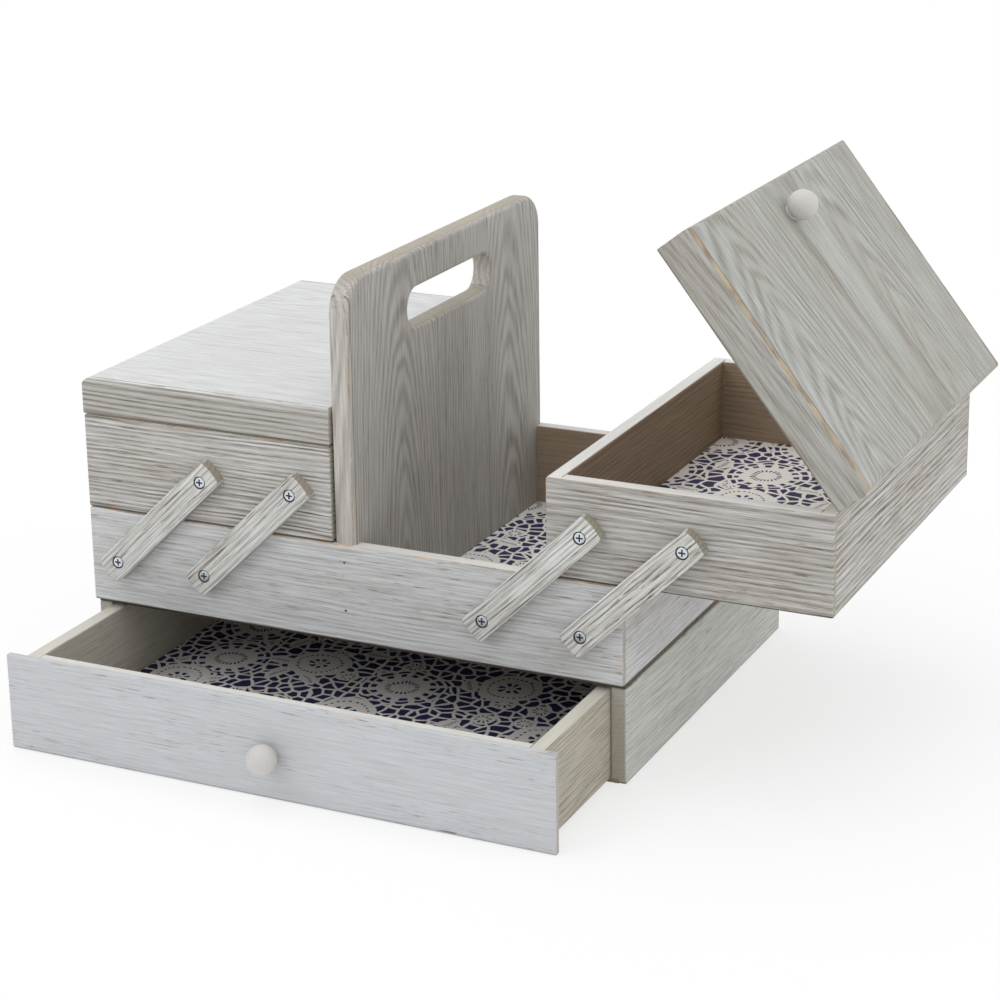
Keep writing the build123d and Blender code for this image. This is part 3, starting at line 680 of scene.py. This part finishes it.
# %% Lids
lid_half = (0.09575, 0.150, 0.0126)
hinge_to_edge = 0.0025
hinge_to_underside = 0.00025
raised = math.radians(52.0)
lid_cuts = {
    "right": [
        (None, -0.112, -0.034, -0.16, 0.0042, 0.012),
        (-0.052, 0.020, -0.16, 0.02, 0.0030, 0.006),
        (0.040, 0.062, -0.030, -0.10, 0.0032, 0.010),
    ],
    "left": [
        (None, -0.158, -0.090, 0.015, 0.0036, 0.004),
        (-0.045, 0.05, -0.14, 0.02, 0.0034, 0.006),
        (0.048, 0.10, -0.05, 0.10, 0.0040, 0.012),
    ],
}
for order, side in enumerate(("left", "right")):
    hinge = Vector(joint_of[side + "_lid_hinge"]["pos_m"])
    inwards = 1 if side == "left" else -1
    lift = raised if side == "right" else 0.0
    along = Vector((math.cos(lift), 0, -math.sin(lift)))
    face = Vector((math.sin(lift), 0, math.cos(lift)))
    middle = hinge + along * inwards * (hinge_to_edge + lid_half[0])
    middle = middle + face * (hinge_to_underside + lid_half[2])
    axes = board_axes(along, (0, 1, 0))
    finish = lid_finish if side == "right" else left_lid_finish
    paint(side + "_lid_board", board_material(side + "_lid_wood", middle, lid_half, axes, finish,
                                              lid_cuts[side], 91.7 + 5.3 * order, inside=-1))
    print(side, "lid's middle is at", [round(value, 4) for value in middle])

# %% [markdown]
# Ball knobs
#
# The knobs were turned from small wood and washed thickly, so they are pale with only faint rings and some
# blotches. They use the board recipe with a quiet finish.

# %% Knobs
knob_finish = {**flat_finish, "wash": srgb(206, 205, 201), "grain": srgb(160, 152, 140), "rings": 0.05,
               "base": 0.05, "streaks": 0.10, "pores": 0.06, "clouds": 0.40,
               "cloud_colour": srgb(200, 196, 188), "relief": 0.05, "rough": 0.5, "wear": 0.0,
               "end_share": 0.0, "seam_shade": 0.0}
knobs = ("drawer_knob", "left_lid_knob", "right_lid_knob")
for order, node in enumerate(knobs):
    low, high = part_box(node)
    half_size = list((high - low) / 2)
    axes = board_axes((0, 0, 1), (1, 0, 0))
    cuts = [(None, 0.004, 0.03, 0.1, 0.0024, 0.004)]
    paint(node, board_material(node + "_wood", (low + high) / 2, half_size, axes, knob_finish, cuts,
                               111.0 + order))
print("painted", len(knobs), "knobs")

# %% [markdown]
# Screws and hinges
#
# The screws are zinc-plated: bright, faintly blue, and never quite clean. A metal takes its colour from what
# it mirrors, so the material is a full Metallic Principled shader with fine noise in its roughness, plus a
# little dark dirt in the blotches. On the arms' screws the cross is painted darker with depth, as painted
# shade, since hardly any light gets into it. The hinge leaves are the same steel with a duller brushed
# surface, and the thin nails that hold the handle board are plain dark steel.

# %% Metal
fine_scratches = 3000.0


def plated_steel(name, colour, dirt_colour, rough, brushed=fine_scratches, head_top=None):
    """Uneven, slightly dirty steel; brushed is scratches a metre along Y; below head_top, where a head ends,
    the recess gets painted shade.
    """
    material = bpy.data.materials.new(name)
    material.use_nodes = True
    tree = material.node_tree
    shader = tree.nodes["Principled BSDF"]
    place = add(tree, "TexCoord").outputs["Object"]
    blotch = add(tree, "TexNoise", {"Vector": place, "Scale": 420.0, "Detail": 4.0}).outputs[0]
    dirt = ramp(tree, blotch, 0.50, 0.75)
    tone = mix(tree, calc(tree, "MULTIPLY", dirt, 0.45), colour, dirt_colour)
    # Painted shade: the screw's cross recess darkens with depth below the head's top.
    if head_top:
        out = calc(tree, "ABSOLUTE", add(tree, "SeparateXYZ", {0: place}).outputs["Y"])
        painted_recess_shade = ramp(tree, calc(tree, "SUBTRACT", head_top, out), 0.0003, 0.0011)
        tone = mix(tree, painted_recess_shade, tone, srgb(74, 80, 88))
    tree.links.new(tone, shader.inputs["Base Color"])
    scratch_scale = (fine_scratches, brushed, fine_scratches)
    scratch_place = add(tree, "VectorMath", {0: place, 1: scratch_scale}, operation="MULTIPLY").outputs[0]
    scratch = add(tree, "TexNoise", {"Vector": scratch_place, "Scale": 1.0, "Detail": 3.0}).outputs[0]
    tree.links.new(ramp(tree, scratch, 0.2, 0.8, rough - 0.08, rough + 0.15), shader.inputs["Roughness"])
    shader.inputs["Metallic"].default_value = 1.0
    bump = add(tree, "Bump", {"Strength": 0.25, "Distance": 0.00005, "Height": scratch})
    tree.links.new(bump.outputs[0], shader.inputs["Normal"])
    return material


head_top = 0.15815
pivot_zinc = plated_steel("pivot_screw_zinc", srgb(214, 220, 226), srgb(120, 128, 138), 0.28,
                          head_top=head_top)
zinc = plated_steel("small_screw_zinc", srgb(206, 210, 214), srgb(120, 124, 130), 0.30)
leaf_steel = plated_steel("hinge_leaf_steel", srgb(186, 184, 176), srgb(110, 104, 96), 0.34, 240.0)
nail_steel = plated_steel("nail_steel", srgb(96, 90, 84), srgb(48, 44, 40), 0.45, 900.0)
for node in nodes:
    if node.endswith("arm_screws"):
        paint(node, pivot_zinc)
    elif "screw" in node:
        paint(node, zinc)
    elif node == "handle_brads":
        paint(node, nail_steel)
    elif "hinge_leaves" in node:
        paint(node, leaf_steel)
print("steel on", sum("screw" in node or "hinge" in node or "brads" in node for node in nodes), "pieces")

# %% [markdown]
# The lace lining
#
# The floors are lined with paper printed like crochet lace: pale thread, dark violet-blue holes. The pattern
# here is a common lace layout of round rosettes set in a net. One Voronoi texture scatters the rosettes'
# centres and gives each its own number, a second one makes the net's holes, and sums on the angle and
# distance from a rosette's centre cut its rings of slits, dots and petals. A third one scatters leaves with a
# row of hatches and small daisies over the net. An image would be simpler, but sums stay sharp at any size.
# All of the lace's lengths are in millimetres.

# %% Lace group
lace = bpy.data.node_groups.new("crochet_lace", "ShaderNodeTree")
lace.interface.new_socket("Place", in_out="INPUT", socket_type="NodeSocketVector")
lace.interface.new_socket("Hole", in_out="OUTPUT", socket_type="NodeSocketFloat")
given = lace.nodes.new("NodeGroupInput").outputs
given_out = lace.nodes.new("NodeGroupOutput")
rosette_gap = 70.0
net_gap = 9.4
leaf_gap = 30.0
to_millimetres = (1000.0, 1000.0, 0.0)
plane = add(lace, "VectorMath", {0: given["Place"], 1: to_millimetres}, operation="MULTIPLY").outputs[0]


def scattered(tree, vector, spacing, randomness):
    """Centres about so many millimetres apart: the way from the nearest one, its length and chance colour."""
    cells = add(tree, "TexVoronoi", {"Vector": vector, "Scale": 1 / spacing, "Randomness": randomness},
                voronoi_dimensions="2D", feature="F1")
    away = add(tree, "VectorMath", {0: vector, 1: cells.outputs["Position"]}, operation="SUBTRACT").outputs[0]
    length = add(tree, "VectorMath", {0: away}, operation="LENGTH").outputs["Value"]
    flat = add(tree, "SeparateXYZ", {0: away})
    angle = calc(tree, "ARCTAN2", flat.outputs["Y"], flat.outputs["X"])
    return length, angle, add(tree, "SeparateColor", {0: cells.outputs["Color"]}).outputs


def ring_of_holes(tree, radius, angle, count, inner, outer, fill):
    """Holes in a ring between two radii in millimetres; fill is a hole's share of its step."""
    step = calc(tree, "FRACT", calc(tree, "MULTIPLY", calc(tree, "DIVIDE", angle, 2 * math.pi), count))
    off = calc(tree, "ABSOLUTE", calc(tree, "SUBTRACT", step, 0.5))
    slit = ramp(tree, off, fill / 2 - 0.04, fill / 2 + 0.04, 1.0, 0.0)
    rise = ramp(tree, radius, inner, inner + 0.35)
    fall = ramp(tree, radius, outer - 0.35, outer, 1.0, 0.0)
    return calc(tree, "MULTIPLY", slit, calc(tree, "MULTIPLY", rise, fall))


def either(tree, *masks):
    """The strongest of several masks."""
    result = masks[0]
    for mask in masks[1:]:
        result = calc(tree, "MAXIMUM", result, mask)
    return result


warp = add(lace, "TexNoise", {"Vector": plane, "Scale": 0.06, "Detail": 1.0}).outputs["Color"]
warped = add(lace, "VectorMath", {0: warp, 1: (7.0, 7.0, 0.0), 2: plane}, operation="MULTIPLY_ADD").outputs[0]
radius, angle, chances = scattered(lace, warped, rosette_gap, 0.55)
petals = calc(lace, "ADD", 12.0, calc(lace, "FLOOR", calc(lace, "MULTIPLY", chances[0], 5.0)))
petals_twice = calc(lace, "MULTIPLY", petals, 2.0)
blooms = calc(lace, "GREATER_THAN", chances[1], 0.55)
sunburst = either(lace, ring_of_holes(lace, radius, angle, 22.0, 7.6, 11.6, 0.46),
                  ring_of_holes(lace, radius, angle, petals, 18.6, 23.2, 0.48),
                  ring_of_holes(lace, radius, angle, petals, 24.6, 28.6, 0.70))
bloom = either(lace, ring_of_holes(lace, radius, angle, 7.0, 3.8, 8.6, 0.50),
               ring_of_holes(lace, radius, angle, 12.0, 0.9, 1.9, 0.60),
               ring_of_holes(lace, radius, angle, petals_twice, 15.2, 17.2, 0.44))
rosette = add(lace, "Mix", {0: blooms, 2: sunburst, 3: bloom}).outputs[0]
rosette_edge = add(lace, "Mix", {0: blooms, 2: 30.2, 3: 22.5}).outputs[0]
outside = ramp(lace, calc(lace, "SUBTRACT", radius, rosette_edge), 0.0, 0.5)

net = add(lace, "TexVoronoi", {"Vector": warped, "Scale": 1 / net_gap, "Randomness": 0.92},
          voronoi_dimensions="2D", feature="DISTANCE_TO_EDGE").outputs["Distance"]
net_holes = ramp(lace, net, 0.105, 0.145)
small_radius, small_angle, small_chances = scattered(lace, warped, leaf_gap, 0.75)
turned = calc(lace, "MULTIPLY_ADD", small_chances[0], 6.28, small_angle)
leaf_x = calc(lace, "MULTIPLY", small_radius, calc(lace, "COSINE", turned))
leaf_y = calc(lace, "ABSOLUTE", calc(lace, "MULTIPLY", small_radius, calc(lace, "SINE", turned)))
bulge = calc(lace, "SUBTRACT", 1.0, calc(lace, "POWER", calc(lace, "DIVIDE", leaf_x, 13.0), 2.0))
leaf = ramp(lace, calc(lace, "SUBTRACT", calc(lace, "MULTIPLY", bulge, 6.2), leaf_y), 0.0, 0.4)
hatch_step = calc(lace, "DIVIDE", calc(lace, "ADD", leaf_x, leaf_y), 1.9)
hatch = calc(lace, "LESS_THAN", calc(lace, "FRACT", hatch_step), 0.40)
hatch = calc(lace, "MULTIPLY", hatch, calc(lace, "LESS_THAN", leaf_y, 1.3))
hatch = calc(lace, "MULTIPLY", hatch, calc(lace, "LESS_THAN", calc(lace, "ABSOLUTE", leaf_x), 8.0))
disc = ramp(lace, small_radius, 8.0, 8.5, 1.0, 0.0)
daisy = ring_of_holes(lace, small_radius, small_angle, 9.0, 2.6, 5.8, 0.36)
as_daisy = calc(lace, "LESS_THAN", small_chances[1], 0.40)
patch = add(lace, "Mix", {0: as_daisy, 2: leaf, 3: disc}).outputs[0]
patch_holes = add(lace, "Mix", {0: as_daisy, 2: hatch, 3: daisy}).outputs[0]
patch = calc(lace, "MULTIPLY", patch, calc(lace, "LESS_THAN", small_chances[2], 0.80))
net_holes = add(lace, "Mix", {0: patch, 2: net_holes, 3: patch_holes}).outputs[0]
hole = add(lace, "Mix", {0: outside, 2: rosette, 3: net_holes}).outputs[0]
lace.links.new(hole, given_out.inputs["Hole"])
print("lace group has", len(lace.nodes), "nodes")


# %% Lining material
def lining_paper(name, thread, ink, shift):
    """Printed paper: ink in the lace's holes, a fibrous sheet under it."""
    material = bpy.data.materials.new(name)
    material.use_nodes = True
    tree = material.node_tree
    shader = tree.nodes["Principled BSDF"]
    place = add(tree, "TexCoord").outputs["Object"]
    shifted = add(tree, "VectorMath", {0: place, 1: shift}, operation="ADD").outputs[0]
    print_group = add(tree, "Group")
    print_group.node_tree = lace
    tree.links.new(shifted, print_group.inputs["Place"])
    hole = print_group.outputs["Hole"]
    paper = add(tree, "TexNoise", {"Vector": place, "Scale": 900.0, "Detail": 3.0}).outputs[0]
    sheet_colour = mix(tree, ramp(tree, paper, 0.3, 0.7, 0.0, 0.08), thread, srgb(196, 192, 184))
    tree.links.new(mix(tree, hole, sheet_colour, ink), shader.inputs["Base Color"])
    height = calc(tree, "MULTIPLY_ADD", hole, -0.6, calc(tree, "MULTIPLY", paper, 0.4))
    bump = add(tree, "Bump", {"Strength": 0.2, "Distance": 0.0001, "Height": height})
    tree.links.new(bump.outputs[0], shader.inputs["Normal"])
    shader.inputs["Roughness"].default_value = 0.6
    shader.inputs["Specular IOR Level"].default_value = 0.3
    return material


paper = lining_paper("lace_paper", srgb(248, 245, 240), srgb(52, 45, 86), (0.013, 0.021, 0.0))
for node in nodes:
    if node.endswith("_lining"):
        paint(node, paper)
print("lining on", sum(node.endswith("_lining") for node in nodes), "pieces")
